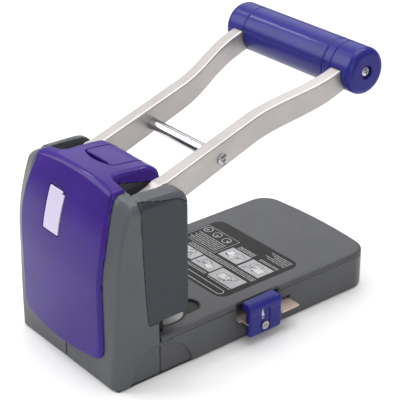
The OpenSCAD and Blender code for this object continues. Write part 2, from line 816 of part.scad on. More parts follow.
rubber_mat();
base_plate();
base_shell();
instruction_label();
die_plate();
die_inserts();
die_discs();
rail_channel();
head_shell_left();
head_shell_right();
side_panel_left();
side_panel_right();
back_cover();
name_plate();
storage_tub();
storage_lid();
lid_hinge_pin();
frame_plate_left();
frame_plate_right();
guide_block();
frame_bolts();
paper_stop();
pivot_axle();
axle_clips();
axle_bushes();
arm_left();
arm_right();
cross_rod();
cross_rod_screws();
grip_core();
grip_upper();
grip_lower();
end_cap_left();
end_cap_right();
cap_screws();
pin_yoke();
punch_pin_left();
punch_pin_right();
pin_clips();
return_springs();
chip_tray();
guide_rail();
guide_slider();
guide_screw();
base_screws();
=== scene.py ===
"""Looks for a two-hole lever punch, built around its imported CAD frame. All sizes are in metres."""
import math

import bmesh
import bpy
import numpy as np
from mathutils import Matrix, Vector


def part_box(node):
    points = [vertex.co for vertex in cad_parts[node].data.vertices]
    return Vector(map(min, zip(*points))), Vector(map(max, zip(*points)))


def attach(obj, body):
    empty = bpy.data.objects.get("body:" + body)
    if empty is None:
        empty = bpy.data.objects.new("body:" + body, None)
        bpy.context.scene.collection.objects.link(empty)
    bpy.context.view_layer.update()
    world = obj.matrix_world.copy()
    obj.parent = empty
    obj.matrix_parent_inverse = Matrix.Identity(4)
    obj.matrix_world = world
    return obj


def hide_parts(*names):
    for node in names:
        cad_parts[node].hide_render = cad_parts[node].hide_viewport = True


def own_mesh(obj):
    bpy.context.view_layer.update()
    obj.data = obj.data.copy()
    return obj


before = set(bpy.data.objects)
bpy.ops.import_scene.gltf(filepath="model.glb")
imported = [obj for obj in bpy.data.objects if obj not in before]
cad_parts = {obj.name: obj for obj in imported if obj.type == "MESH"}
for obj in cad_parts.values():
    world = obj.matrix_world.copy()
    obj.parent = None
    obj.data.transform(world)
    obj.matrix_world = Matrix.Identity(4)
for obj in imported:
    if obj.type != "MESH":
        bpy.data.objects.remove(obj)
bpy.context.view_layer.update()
MM = 0.001

# ---- sizes taken from the frame, in millimetres ----


def node_box(name):
    """Lowest and highest corner of a CAD node, in millimetres."""
    low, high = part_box(name)
    return np.array(low) / MM, np.array(high) / MM


base_low, base_high = node_box("base_shell")
head_low, head_high = node_box("head_shell_right")
HALF_W = base_high[0]
BASE_END = base_low[1]
BASE_TOP = base_high[2]
SHELL_Z = base_low[2]
BASE_JOIN = base_high[1]
HEAD_FRONT = head_low[1]
HEAD_BACK = head_high[1]
THROAT_TOP = 45.0
HEAD_TOP = 148.0
SLOT_IN, SLOT_OUT = 30.4, 52.0
END_BOW = 5.0
PLAN_R = 16.0
PITCH = 80.0
PIN_Y = 71.0
COVER_T = 3.2
HINGE_Y = 69.5
PIVOT = (103.5, 122.5)
SCREW_AT = (-1.2, 13.2)
GRIP = (-101.2, 194.0)
GRIP_R = 18.5
SEAM_X = 49.8
GRIP_END = 72.0
ROD = (19.5, 148.8)
ARCH = (BASE_JOIN + 0.3, -2.4, 29.0)

# ---- distance fields: arrays of signed distances in millimetres, negative inside ----


def length(*parts):
    return np.sqrt(sum(p * p for p in parts))


def both(a, b, r=0.0):
    """Intersection with a convex edge rounded to radius r."""
    if np.ndim(r) == 0 and r == 0:
        return np.maximum(a, b)
    return np.minimum(-r, np.maximum(a, b)) + length(np.maximum(r + a, 0), np.maximum(r + b, 0))


def either(a, b, r=0.0):
    """Union with the inner corner filled to radius r."""
    return -both(-a, -b, r)


def less(a, b, r=0.0):
    """a without b, with the edge rounded to radius r."""
    return both(a, -b, r)


def slab(v, low, high):
    return abs(v - (low + high) / 2) - (high - low) / 2


def smooth(t):
    t = np.clip(t, 0, 1)
    return t * t * (3 - 2 * t)


def hump(v, centre, width):
    return np.exp(-(((v - centre) / width) ** 2))


def box_field(x, y, z, low, high, r=0.0):
    d = both(slab(x, low[0], high[0]), slab(y, low[1], high[1]), r)
    return both(d, slab(z, low[2], high[2]), r)


def outline(points, radii, steps=6):
    """A polygon's points with each corner rounded to its radius."""
    out = []
    count = len(points)
    for i in range(count):
        a, b, c = (np.array(points[(i + k) % count], float) for k in (-1, 0, 1))
        r = radii[i]
        if r == 0:
            out.append(b)
            continue
        u, v = (a - b) / np.linalg.norm(a - b), (c - b) / np.linalg.norm(c - b)
        half = math.acos(np.clip(u @ v, -1, 1)) / 2
        middle = (u + v) / np.linalg.norm(u + v)
        centre = b + middle * r / math.sin(half)
        start, end = b + u * r / math.tan(half) - centre, b + v * r / math.tan(half) - centre
        first = math.atan2(start[1], start[0])
        sweep = (math.atan2(end[1], end[0]) - first + 3 * math.pi) % (2 * math.pi) - math.pi
        for k in range(steps + 1):
            t = first + sweep * k / steps
            out.append(centre + r * np.array([math.cos(t), math.sin(t)]))
    return np.array(out)


def polygon_field(u, v, points):
    """Signed distance to a closed polygon in the plane of u and v."""
    u, v = np.broadcast_arrays(u, v)
    nearest = np.full(u.shape, 1e9)
    inside = np.zeros(u.shape, bool)
    for a, b in zip(points, np.roll(points, -1, axis=0)):
        e = b - a
        t = np.clip(((u - a[0]) * e[0] + (v - a[1]) * e[1]) / (e @ e), 0, 1)
        nearest = np.minimum(nearest, (u - a[0] - t * e[0]) ** 2 + (v - a[1] - t * e[1]) ** 2)
        if a[1] != b[1]:
            crosses = (a[1] > v) != (b[1] > v)
            inside ^= crosses & (u < a[0] + e[0] * (v - a[1]) / e[1])
    return np.where(inside, -1, 1) * np.sqrt(nearest)


# ---- from a distance field to a mesh ----


def surface_net(field, low, high, pitch):
    """Vertices, normals and quads of the field's zero surface inside a box, by surface nets."""
    low, high = np.array(low, float), np.array(high, float)
    count = np.ceil((high - low) / pitch).astype(int) + 1
    axes = [low[i] + pitch * np.arange(count[i]) for i in range(3)]
    grid = field(axes[0][:, None, None], axes[1][None, :, None], axes[2][None, None, :])
    grid = np.broadcast_to(grid, tuple(count)).astype(np.float64)
    inside = grid < 0
    corners = [(i, j, k) for i in (0, 1) for j in (0, 1) for k in (0, 1)]

    def part(a, c):
        return a[tuple(slice(c[i], count[i] - 1 + c[i]) for i in range(3))]

    filled = sum(part(inside, c).astype(np.int8) for c in corners)
    cells = np.argwhere((filled > 0) & (filled < 8))
    index = -np.ones(tuple(count - 1), np.int64)
    index[tuple(cells.T)] = np.arange(len(cells))
    total = np.zeros((len(cells), 3))
    weight = np.zeros(len(cells))
    for a in corners:
        for axis in range(3):
            if a[axis]:
                continue
            b = tuple(a[i] + (i == axis) for i in range(3))
            fa, fb = grid[tuple((cells + a).T)], grid[tuple((cells + b).T)]
            hit = (fa < 0) != (fb < 0)
            t = np.where(hit, fa / np.where(hit, fa - fb, 1), 0)
            point = np.repeat(np.array([a], float), len(cells), 0)
            point[:, axis] += t
            total += point * hit[:, None]
            weight += hit
    verts = low + pitch * (cells + total / weight[:, None])
    quads = []
    for axis in range(3):
        one, two = (axis + 1) % 3, (axis + 2) % 3
        first = [slice(None)] * 3
        second = [slice(None)] * 3
        first[axis], second[axis] = slice(0, -1), slice(1, None)
        change = np.argwhere(inside[tuple(first)] != inside[tuple(second)])
        keep = (change[:, one] > 0) & (change[:, two] > 0)
        keep &= (change[:, one] < count[one] - 1) & (change[:, two] < count[two] - 1)
        change = change[keep]
        ring = []
        for da, db in ((1, 1), (0, 1), (0, 0), (1, 0)):
            c = change.copy()
            c[:, one] -= da
            c[:, two] -= db
            ring.append(index[tuple(c.T)])
        ring = np.stack(ring, 1)
        outward = inside[tuple(change.T)]
        ring[~outward] = ring[~outward][:, ::-1]
        quads.append(ring)
    quads = np.concatenate(quads)

    def slope(p, e=0.02):
        g = np.zeros_like(p)
        for i in range(3):
            d = np.zeros(3)
            d[i] = e
            g[:, i] = field(*(p + d).T) - field(*(p - d).T)
        return g / (2 * e)

    for _ in range(2):
        g = slope(verts)
        step = field(*verts.T)[:, None] * g / np.maximum((g * g).sum(1), 0.05)[:, None]
        verts = verts - np.clip(step, -0.5 * pitch, 0.5 * pitch)
    normals = slope(verts, 0.05)
    normals /= np.maximum(np.linalg.norm(normals, axis=1), 1e-9)[:, None]
    return verts, normals, quads


def add_mesh(name, verts, quads, body, material, replaces=(), normals=None):
    mesh = bpy.data.meshes.new(name)
    mesh.from_pydata((verts * MM).tolist(), [], quads.tolist())
    mesh.polygons.foreach_set("use_smooth", np.ones(len(quads), bool))
    mesh.update()
    if normals is not None:
        mesh.normals_split_custom_set_from_vertices(normals.tolist())
    mesh.materials.append(material)
    piece = bpy.data.objects.new(name, mesh)
    bpy.context.scene.collection.objects.link(piece)
    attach(piece, body)
    if replaces:
        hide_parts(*replaces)
    return piece


def flip_x(verts, normals, quads):
    mirror = np.array([-1.0, 1, 1])
    return verts * mirror, normals * mirror, quads[:, ::-1]


def shaped(name, field, low, high, pitch, body, material, replaces=()):
    verts, normals, quads = surface_net(field, low, high, pitch)
    return add_mesh(name, verts, quads, body, material, replaces, normals)


def shaped_pair(names, field, low, high, pitch, body, material, replaces):
    """The same piece on the right and, mirrored, on the left."""
    verts, normals, quads = surface_net(field, low, high, pitch)
    add_mesh(names[1], verts, quads, body, material, [replaces[1]], normals)
    verts, normals, quads = flip_x(verts, normals, quads)
    add_mesh(names[0], verts, quads, body, material, [replaces[0]], normals)


# ---- materials ----


class Nodes:
    """A short way to write a material's node tree."""

    def __init__(self, name):
        self.material = bpy.data.materials.new(name)
        self.material.use_nodes = True
        self.tree = self.material.node_tree
        self.shader = self.tree.nodes["Principled BSDF"]
        self.where = self.tree.nodes.new("ShaderNodeTexCoord").outputs["Object"]

    def add(self, kind, inputs=None, **settings):
        node = self.tree.nodes.new("ShaderNode" + kind)
        for key, value in settings.items():
            setattr(node, key, value)
        for key, value in (inputs or {}).items():
            if isinstance(value, bpy.types.NodeSocket):
                self.tree.links.new(value, node.inputs[key])
            else:
                node.inputs[key].default_value = value
        return node

    def noise(self, scale, detail=3.0, roughness=0.5, stretch=(1, 1, 1)):
        at = self.add("Mapping", {"Vector": self.where, "Scale": stretch}).outputs[0]
        return self.add("TexNoise", {"Vector": at, "Scale": scale, "Detail": detail,
                                     "Roughness": roughness}).outputs["Fac"]

    def ramp(self, factor, low, high, out_low, out_high):
        inputs = {"Value": factor, "From Min": low, "From Max": high, "To Min": out_low, "To Max": out_high}
        return self.add("MapRange", inputs).outputs[0]

    def blend(self, factor, one, two):
        node = self.add("Mix", data_type="RGBA")
        for socket, value in ((node.inputs[0], factor), (node.inputs[6], one), (node.inputs[7], two)):
            if isinstance(value, bpy.types.NodeSocket):
                self.tree.links.new(value, socket)
            else:
                socket.default_value = value
        return node.outputs[2]

    def bump(self, height, strength, distance):
        return self.add("Bump", {"Height": height, "Strength": strength, "Distance": distance}).outputs[0]

    def set(self, **values):
        names = {"color": "Base Color", "rough": "Roughness", "metal": "Metallic", "normal": "Normal",
                 "coat": "Coat Weight", "coat_rough": "Coat Roughness", "spec": "Specular IOR Level",
                 "aniso": "Anisotropic"}
        for key, value in values.items():
            socket = self.shader.inputs[names[key]]
            if isinstance(value, bpy.types.NodeSocket):
                self.tree.links.new(value, socket)
            else:
                socket.default_value = value
        return self.material


def rgb(r, g, b):
    """Linear colour from a 0-255 sRGB triple."""
    return tuple((c / 255 / 12.92) if c <= 10 else ((c / 255 + 0.055) / 1.055) ** 2.4 for c in (r, g, b)) + (1,)


def shade(colour, k):
    return tuple(c * k for c in colour[:3]) + (1,)


def textured_plastic(name, colour, rough=0.42, grain=1400, depth=0.00004, coat=0.0):
    """Moulded plastic with a fine spark-eroded grain and faint unevenness in tone."""
    n = Nodes(name)
    tone = n.ramp(n.noise(38, 4), 0.3, 0.7, 0.0, 1.0)
    return n.set(color=n.blend(tone, shade(colour, 0.94), shade(colour, 1.06)),
                 rough=n.ramp(n.noise(260, 5, 0.6), 0.3, 0.7, rough - 0.05, rough + 0.06),
                 normal=n.bump(n.noise(grain, 2), 0.22, depth), coat=coat, coat_rough=0.2, spec=0.28)


def glossy_plastic(name, colour, deep, rough=0.2, coat=0.5, spec=0.35):
    """Smooth coloured plastic with a clear top and slight cloudiness from moulding."""
    n = Nodes(name)
    tone = n.ramp(n.noise(22, 3), 0.3, 0.7, 0.0, 1.0)
    return n.set(color=n.blend(tone, deep, colour), rough=n.ramp(n.noise(90, 2), 0.3, 0.7, rough - 0.02, rough + 0.03),
                 normal=n.bump(n.noise(14, 1), 0.05, 0.0003), coat=coat, coat_rough=0.06, spec=spec)


def printed(name, colour, low, high):
    """Printed ink with uneven coverage and a fine screen."""
    n = Nodes(name)
    screen = n.ramp(n.noise(420, 3, 0.6), 0.35, 0.65, low, high)
    return n.set(color=n.blend(screen, shade(colour, 0.72), colour), rough=n.ramp(n.noise(60, 2), 0.3, 0.7, 0.4, 0.5),
                 spec=0.25)


def metal(name, colour, rough, stretch=(1, 1, 1), scale=700, depth=0.00002, fine=0.08, amount=1.0):
    """Metal with machining or blasting marks drawn out along an axis."""
    n = Nodes(name)
    marks = n.noise(scale, 4, 0.6, stretch)
    tone = n.ramp(n.noise(30, 4), 0.3, 0.7, 0.0, 1.0)
    return n.set(color=n.blend(tone, shade(colour, 0.92), shade(colour, 1.05)), metal=amount,
                 rough=n.ramp(marks, 0.25, 0.75, rough - fine, rough + fine), normal=n.bump(marks, 0.25, depth))


def rubber_material():
    n = Nodes("rubber")
    return n.set(color=n.blend(n.noise(60, 4), rgb(56, 56, 58), rgb(66, 66, 68)),
                 rough=n.ramp(n.noise(200, 4), 0.3, 0.7, 0.75, 0.9), normal=n.bump(n.noise(900, 2), 0.5, 0.00008))


grey = textured_plastic("housing_grey", rgb(80, 83, 87), rough=0.34)
base_grey = textured_plastic("base_grey", rgb(77, 78, 81), rough=0.34)
dark_grey = textured_plastic("panel_grey", rgb(46, 52, 57), rough=0.32)
black = textured_plastic("black_plastic", rgb(34, 34, 36), rough=0.5)
disc_grey = textured_plastic("disc_plastic", rgb(158, 158, 160), rough=0.4)
violet = glossy_plastic("cover_violet", rgb(58, 32, 122), rgb(51, 28, 112), rough=0.3, coat=0.16, spec=0.1)
blue = glossy_plastic("grip_blue", rgb(38, 35, 122), rgb(34, 32, 112), rough=0.33, coat=0.09, spec=0.2)
film = glossy_plastic("label_film", rgb(38, 38, 40), rgb(34, 34, 36), rough=0.5, coat=0.0, spec=0.2)
plate_pale = glossy_plastic("badge_pale", rgb(200, 192, 216), rgb(194, 186, 212), rough=0.35, coat=0.1)
print_pale = printed("label_film_pale", rgb(176, 176, 178), 0.3, 1.0)
print_white = printed("label_film_white", rgb(205, 205, 206), 0.6, 1.0)
print_grey = printed("label_film_grey", rgb(172, 172, 174), 0.5, 1.0)
arm_metal = metal("arm_alloy", rgb(184, 179, 177), 0.42, (1, 0.15, 1), 500, 0.00003, amount=0.75)
chrome = metal("chrome", rgb(186, 186, 190), 0.15, (0.1, 1, 1), 900, 0.00001, 0.03)
steel = metal("steel", rgb(190, 190, 194), 0.28, (1, 1, 0.2), 800)
zinc = metal("zinc_plate", rgb(170, 172, 176), 0.38, (1, 0.3, 1), 300)
rail_metal = metal("rail_steel", rgb(200, 180, 168), 0.42, (0.1, 1, 1), 500, amount=0.55)
# Paper stop metal darkened as painted shade for the shaded inside of the throat
stop_painted_shade = metal("stop_painted_shade", rgb(52, 53, 55), 0.5, (0.2, 1, 1), 300)
bronze = metal("bronze", rgb(176, 134, 84), 0.35)
screw_metal = metal("screw_zinc", rgb(168, 166, 166), 0.34)
rubber = rubber_material()

NODE_MATERIALS = {
    rubber: ["rubber_mat"],
    zinc: ["base_plate", "rail_channel", "frame_plate_left", "frame_plate_right", "pin_yoke"],
    # The paper stop gets the darkened metal that paints the shade in the throat
    stop_painted_shade: ["paper_stop"],
    steel: ["die_plate", "lid_hinge_pin", "pivot_axle", "axle_clips", "grip_core", "punch_pin_left",
            "punch_pin_right", "pin_clips", "return_springs"],
    screw_metal: ["frame_bolts", "base_screws", "guide_screw"],
    arm_metal: ["guide_block", "arm_left", "arm_right"],
    black: ["die_inserts", "chip_tray"],
    disc_grey: ["die_discs"],
    grey: ["head_shell_left", "head_shell_right", "storage_tub"],
    base_grey: ["base_shell"],
    dark_grey: ["side_panel_left", "side_panel_right"],
    violet: ["back_cover", "storage_lid"],
    blue: ["grip_upper", "grip_lower", "end_cap_left", "end_cap_right", "guide_slider"],
    film: ["instruction_label"],
    plate_pale: ["name_plate"],
    bronze: ["axle_bushes"],
    chrome: ["cross_rod", "cross_rod_screws", "cap_screws"],
    rail_metal: ["guide_rail"],
}
for material, names in NODE_MATERIALS.items():
    for name in names:
        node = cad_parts[name]
        node.data.materials.clear()
        node.data.materials.append(material)

# ---- base ----


def plan_field(x, y, inset=0.0):
    """Plan of the base: straight sides and a bowed user's end with round corners."""
    end_r = (HALF_W ** 2 + END_BOW ** 2) / (2 * END_BOW)
    end = length(x, y - (BASE_END + end_r)) - end_r
    side = both(abs(x) - HALF_W, np.minimum(end, 500) + 0 * x, PLAN_R)
    return side + inset


def arch_field(x, y, z, depth=1.8):
    """Arched finger reliefs in both sides, across the joint between base and head."""
    ring = length(y - ARCH[0], z - ARCH[1]) - ARCH[2]
    return both(ring, HALF_W - depth - abs(x), 1.0)


def with_arch(d, x, y, z):
    """Cuts the relief, and raises a thin lip round it."""
    from_ring = length(y - ARCH[0], z - ARCH[1]) - ARCH[2] - 0.9
    lip = both(length(from_ring, abs(x) - HALF_W + 0.5) - 1.15, 3 - z)
    return either(less(d, arch_field(x, y, z), 0.6), lip, 0.4)


def pocket_field(x, y, grow=0.0):
    """U-shaped pockets round the punch pins, open towards the user, with a round end."""
    a = abs(x) - PITCH / 2
    end = length(a, y - 47) - 10 - grow
    neck = both(slab(a, -10 - grow, 10 + grow), slab(y, 47, 67))
    disc = length(a, y - np.clip(y, 67, PIN_Y)) - 14 - grow
    return either(np.minimum(end, neck), disc)


def base_field(x, y, z):
    d = both(plan_field(x, y), z - BASE_TOP, 3.0)
    d = both(d, slab(y, -400, BASE_JOIN + 0.15), 0.3)
    d = both(d, SHELL_Z - z, 0.6)
    # Shadow line below the rounded top edge
    groove = length(plan_field(x, y) + 0.1, z - (BASE_TOP - 4.2)) - 0.55
    d = with_arch(less(d, groove, 0.2), x, y, z)
    inner = both(plan_field(x, y, 3.0), z - (BASE_TOP - 3))
    d = less(d, inner)
    d = less(d, both(pocket_field(x, y), BASE_TOP - 3.5 - z), 0.5)
    d = less(d, box_field(x, y, z, (-70, -37, 16.4), (-59.0, 5, 21.0), 0.4), 0.3)
    d = less(d, box_field(x, y, z, (-70, -25.5, 16.4), (-61.6, 17.5, 40), 0.5), 0.6)
    d = less(d, box_field(x, y, z, (58, 47.7, -5), (70, 87.3, 18.9), 1.0), 0.3)
    return both(d, y - BASE_JOIN - 0.15, 0.3)


shaped("base_body", base_field, (-66, -132, 0), (66, 91, 35), 1.0, "frame", base_grey, ["base_shell"])

# ---- head ----


def back_y(z):
    """Y of the head's back, upright below and leaning forward above."""
    return HEAD_BACK - 0.0033 * np.maximum(0, z - 80) ** 2


def lean(z):
    return np.sqrt(1 + (0.0066 * np.maximum(0, z - 80)) ** 2)


FRONT_OUTLINE = outline(
    [(BASE_JOIN + 0.3, -20), (160, -20), (160, HEAD_TOP + 1.9), (113.5, HEAD_TOP + 1.9), (80, HEAD_TOP + 0.3),
     (HEAD_FRONT, HEAD_TOP - 2), (HEAD_FRONT, 52), (68, THROAT_TOP), (BASE_JOIN + 0.3, THROAT_TOP)],
    [0, 0, 0, 0, 8, 14, 2, 2, 0.6])


def head_outer(x, y, z):
    """The head's outer form, before it is hollowed."""
    side = abs(x) - HALF_W
    # Beside the cover the back turns forward, and meets the side in a crease that softens downwards
    crease = smooth((z - 8) / 70)
    back = (y - back_y(z) + 0.33 * crease * np.maximum(0, abs(x) - 52)) / lean(z)
    d = both(side, back, 7.5 - 5.5 * crease)
    # The roof slopes down to both sides, and steps down behind the towers
    step = 1.8 * smooth((y - 103) / 4)
    roof = (z - HEAD_TOP - 2.6 + step + 0.5 * (abs(x) - SLOT_OUT)) / 1.118
    d = both(d, roof, 4.5)
    d = both(d, polygon_field(y, z, FRONT_OUTLINE), 3.5)
    return both(d, SHELL_Z - z, 0.6)


def panel_limit(y, z, grow=0.0):
    """Where the dark cheek mouldings are: in front of a slightly curved line."""
    edge = 100.0 + 5.6 * (np.clip(z - 46, 0.01, 200) / 96) ** 0.6
    top = (z - 145.9 + 0.16 * (107.7 - y)) / 1.013
    limit = both(both(y - edge, 46.0 - z, 1.2), both(top, HEAD_FRONT - 0.8 - y, 12.0), 1.0)
    return limit - grow


def head_field(x, y, z):
    d = head_outer(x, y, z)
    cavity = both(slab(x, -55.5, 55.5), y - (back_y(z) - 3.6))
    cavity = both(cavity, np.maximum(z - (HEAD_TOP - 9), HEAD_FRONT + 2 - y))
    cavity = less(cavity, both(slab(y, -100, BASE_JOIN - 1), z - (THROAT_TOP + 2.3)))
    neck = both(slab(x, -30, 30), slab(y, HEAD_FRONT, 120))
    neck = both(neck, 130 - z)
    room = both(both(slab(x, -27, 27), HEAD_FRONT + 2.2 - y), z - (HEAD_TOP - 3))
    d = less(d, less(cavity, less(neck, room)))
    slots = both(slab(abs(x), SLOT_IN, SLOT_OUT), np.minimum(np.maximum(y - 105, 128 - z), np.maximum(y - 78, 94 - z)))
    d = less(d, slots, 0.8)
    d = less(d, box_field(x, y, z, (-50.2, 0, 47.2), (50.2, HEAD_FRONT + 2.5, 61.3)), 0.4)
    d = less(d, box_field(x, y, z, (-21.1, HEAD_FRONT + 2.2, 132), (21.1, 98.1, 200)))
    d = less(d, length(abs(x) - PITCH / 2, y - PIN_Y) - 5 + 100 * (z > 60))
    d = less(d, both(panel_limit(y, z, 0.06), 59.9 - abs(x)), 0.25)
    d = with_arch(d, x, y, z)
    d = both(d, np.where(z < THROAT_TOP, BASE_JOIN + 0.3 - y, -50))
    return both(d, 0.05 - x, 0.3)


def panel_field(x, y, z):
    d = both(head_outer(x, y, z), panel_limit(y, z), 0.25)
    return both(d, 60.0 - x)


shaped_pair(("head_housing_left", "head_housing_right"), head_field, (-1, 60, 0), (66, 133, 152), 1.0,
            "frame", grey, ("head_shell_left", "head_shell_right"))
shaped_pair(("cheek_left", "cheek_right"), panel_field, (58, 60, 43), (66, 108, 152), 0.8,
            "frame", dark_grey, ("side_panel_left", "side_panel_right"))

# ---- cover, lid and name plate ----


def cover_back(x, z):
    """Y of the cover's outer face: a slight bulge, and a shallow scoop just under the ridge."""
    crest = HEAD_TOP + 8.6 - x * x / 448
    bulge = 2.0 * (1 - (x / 51) ** 2)
    scoop = 0.6 * hump(z, crest - 10, 6)
    return back_y(z) + COVER_T + bulge - scoop


def cover_half(z):
    return 50.8 + 1.5 * hump(z, 110, 17) - 2.9 * smooth((z - 122) / 32)


TOP_OUTLINE = outline(
    [(63.2, 0), (200, 0), (200, HEAD_TOP + 8.4), (115, HEAD_TOP + 8.4), (95, HEAD_TOP + 8.2),
     (73, HEAD_TOP + 5.4), (63.2, HEAD_TOP - 0.4)], [0, 0, 0, 0, 30, 12, 3])


def cover_bottom(x):
    return 16.8 + 3.6 * (x / 40) ** 2


def flank_bottom(y):
    """Lower edge of the skirts beside the neck's housing."""
    return 148.2 - 0.21 * (101 - y)


def cover_form(x, y, z):
    """Crowned outer form of the cover, its ridge and the neck between the arms."""
    back = (y - cover_back(x, z)) / lean(z)
    # The crown is stronger towards the user's end of the neck
    crown = (z + x * x / (448 - 150 * smooth((85 - y) / 22)) - (HEAD_TOP + 8.6)) / 1.01
    top = both(crown, polygon_field(y, z, TOP_OUTLINE), 2.0)
    d = both(back, top, 3.6)
    neck_half = np.minimum(30.0 + 0.36 * (HEAD_TOP + 6 - z), 34.0)
    neck = both(both((abs(x) - neck_half) / 1.06, 63.2 - y, 6.0), 130 - z)
    ridge = both(abs(x) - cover_half(z), 105.5 - y, 2.0)
    ridge = both(ridge, (cover_bottom(x) - z) / (1 + 0.004 * abs(x)), 9.0)
    return both(d, either(neck, ridge, 5.0), 3.4)


def lid_plan(x, y, grow=0.0):
    half = 17.6 - 0.4 * (y - 66) / 29
    return both(abs(x) - half, slab(y, 60, 95), 2.5) - grow


def cover_field(x, y, z):
    d = cover_form(x, y, z)
    inside = both(head_outer(x, y, z), abs(x) - np.where(y < 105, 30.2, 100.0)) - 0.1
    d = less(d, inside)
    d = both(d, np.where(y < 105.5, flank_bottom(y) - z, -50), 0.3)
    # Opening for the lid, the finger recess behind it and the room below
    d = less(d, np.maximum(lid_plan(x, y, 0.55), 64.6 - y), 0.8)
    scoop = both(length(x, y - 61) - 38, slab(x, -17.2, 17.2), 1.5)
    d = less(d, np.maximum(np.maximum(scoop, 85 - y), HEAD_TOP + 0.9 - z), 0.9)
    d = less(d, box_field(x, y, z, (-21.1, 65.2, 100), (21.1, 98.1, HEAD_TOP + 0.2)))
    # Shallow seat round the name plate
    seat = box_field(x, y, z, (-1.6, 100, 104.2), (19.0, 200, 137.3), 0.6)
    return less(d, np.maximum(seat, cover_back(x, z) - 1.2 - y), 0.3)


def lid_field(x, y, z):
    d = both(cover_form(x, y, z), np.maximum(lid_plan(x, y), 66 - y), 0.9)
    under = np.where(y < 74, 146.2 + 0 * y, HEAD_TOP + 2.9)
    d = both(d, under - z)
    ears = both(slab(abs(x), 13.3, 16.5), np.maximum(y - 72.9, z - 150.8))
    d = less(d, ears)
    return less(d, length(y - HINGE_Y, z - HEAD_TOP - 0.6) - 1.3)


def plate_field(x, y, z):
    d = np.maximum(cover_back(x, z) - 1.2 - y, y - cover_back(x, z) - 0.15)
    shape = both(slab(x, -0.8, 18.2), slab(z, 105, 136.5), 0.6)
    notch = both(x - 2.2, 134.5 - z)
    return both(d, less(shape, notch, 0.3), 0.3)


shaped("cover", cover_field, (-55, 61, 14), (55, 138, 159), 1.0, "frame", violet, ["back_cover"])
shaped("lid", lid_field, (-19, 64, 144), (19, 97, 159), 0.5, "storage_lid", violet, ["storage_lid"])
shaped("badge_plate", plate_field, (-3, 118, 103), (21, 138, 139), 0.5, "frame", plate_pale, ["name_plate"])

# ---- handle ----


def arm_inner(y):
    return 36 + 14.3 * smooth((-12 - y) / 66)


def arm_field(x, y, z):
    """One arm: a bar of even thickness, flared outwards, with its hub, press lobe and ring."""
    t = np.clip((-12 - y) / 66, 0, 1)
    slope = 14.3 * 6 * t * (1 - t) / 66
    across = (abs(x - arm_inner(y) - 5.75) - 5.75) / np.sqrt(1 + slope ** 2)
    top, low = 168.9 - 0.331 * y, 147.9 - 0.359 * y
    side = np.maximum((z - top) / 1.053, (low - z) / 1.062)
    side = np.maximum(side, np.maximum(GRIP[0] - y, y - (PIVOT[0] - 4)))
    side = np.minimum(side, length(y - PIVOT[0], z - PIVOT[1]) - 11.6)
    side = np.minimum(side, length(y - 70.99, z - 132.44) - 13.5)
    side = np.minimum(side, length(y - GRIP[0], z - GRIP[1]) - 8.1)
    d = both(across, side, 1.5)
    d = less(d, length(y - PIVOT[0], z - PIVOT[1]) - 7)
    d = less(d, length(y - GRIP[0], z - GRIP[1]) - 6.5)
    return less(d, length(y - ROD[0], z - ROD[1]) - 3)


def grip_field(x, y, z):
    """Sleeve of the grip with its shallow groove."""
    r = length(y - GRIP[0], z - GRIP[1])
    d = both(r - GRIP_R, abs(x) - SEAM_X, 0.5)
    groove = length(r - GRIP_R - 0.15, x + 41.6) - 0.75
    return less(less(d, groove, 0.3), r - 6.5)


def half_grip(side):
    angle = math.radians(14.2)

    def field(x, y, z):
        lift = -(y - GRIP[0]) * math.sin(angle) + (z - GRIP[1]) * math.cos(angle)
        return both(grip_field(x, y, z), 0.06 - side * lift, 0.25)
    return field


def cap_field(x, y, z):
    r = length(y - GRIP[0], z - GRIP[1])
    d = both(r - GRIP_R, x - GRIP_END, 5.5)
    d = both(d, SEAM_X + 0.15 - x, 0.5)
    d = less(d, np.maximum(r - 6.5, x - (GRIP_END - 8)))
    d = less(d, r - 2.2)
    d = less(d, both(r - 5.3, GRIP_END - 3.2 - x), 0.5)
    top, low = 168.9 - 0.331 * y + 0.35, 147.9 - 0.359 * y - 0.35
    slot = np.maximum(np.maximum(z - top, low - z), GRIP[0] - 8.4 - y)
    return less(d, np.maximum(slot, x - 61.95), 0.3)


def screw_field(face, y0, z0, head_r, head_h, shank_r, shank_l):
    """Pan head with a cross recess, facing +X."""
    def field(x, y, z):
        r = length(y - y0, z - z0)
        ball = length(r, x - (face + head_h - head_r * 1.9)) - head_r * 1.9
        d = both(both(r - head_r, ball, 0.4), face - x, 0.15)
        shank = both(r - shank_r, slab(x, face - shank_l, face + 0.2))
        arm = np.minimum(abs(y - y0), abs(z - z0)) - 0.11 * head_r
        cross = np.maximum(np.maximum(arm, r - 0.56 * head_r), face + head_h * 0.35 - x)
        return less(np.minimum(d, shank), cross, 0.1)
    return field


def screw_pair(name, node, face, at, head_r, head_h, shank_r, shank_l, material, body):
    verts, normals, quads = surface_net(
        screw_field(face, *at, head_r, head_h, shank_r, shank_l),
        (face - shank_l - 1, at[0] - head_r - 1, at[1] - head_r - 1),
        (face + head_h + 1, at[0] + head_r + 1, at[1] + head_r + 1), 0.22)
    left = flip_x(verts, normals, quads)
    all_verts = np.concatenate([verts, left[0]])
    all_quads = np.concatenate([quads, left[2] + len(verts)])
    add_mesh(name, all_verts, all_quads, body, material, [node], np.concatenate([normals, left[1]]))


